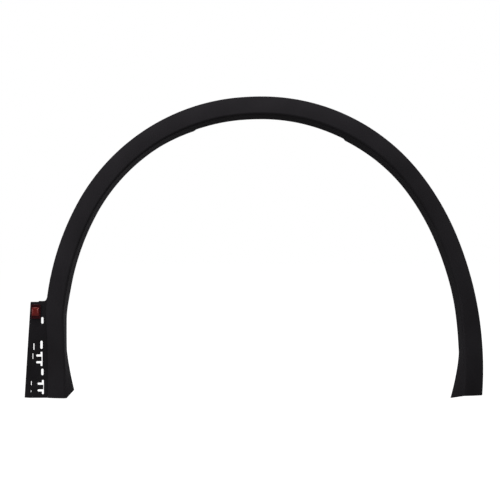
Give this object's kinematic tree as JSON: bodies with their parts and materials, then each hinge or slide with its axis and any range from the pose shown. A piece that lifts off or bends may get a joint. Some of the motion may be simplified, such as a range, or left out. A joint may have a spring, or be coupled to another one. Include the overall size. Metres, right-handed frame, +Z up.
{
  "type": "wheel arch trim",
  "caption": "Moulded plastic band that frames a car's wheel opening, with a return flange inside, flared feet and a slotted joining flange at one foot.",
  "frame": {"origin": "axis of the crown locating pin, in the plane where the moulding meets the body panel at the crown", "axes": "X along the car with the joining flange at the -X foot, Z up, Y into the body, so the grained face looks along -Y"},
  "size_m": [0.9221, 0.0577, 0.608],
  "materials": {
    "grained_black": "fine moulded grain, matt",
    "clip_red": "smooth moulded nylon",
    "clip_natural": "natural moulded nylon"
  },
  "bodies": {
    "root": {"arch_moulding": "grained_black", "joint_clip": "clip_red", "panel_clips": "clip_natural"}
  },
  "joints": []
}
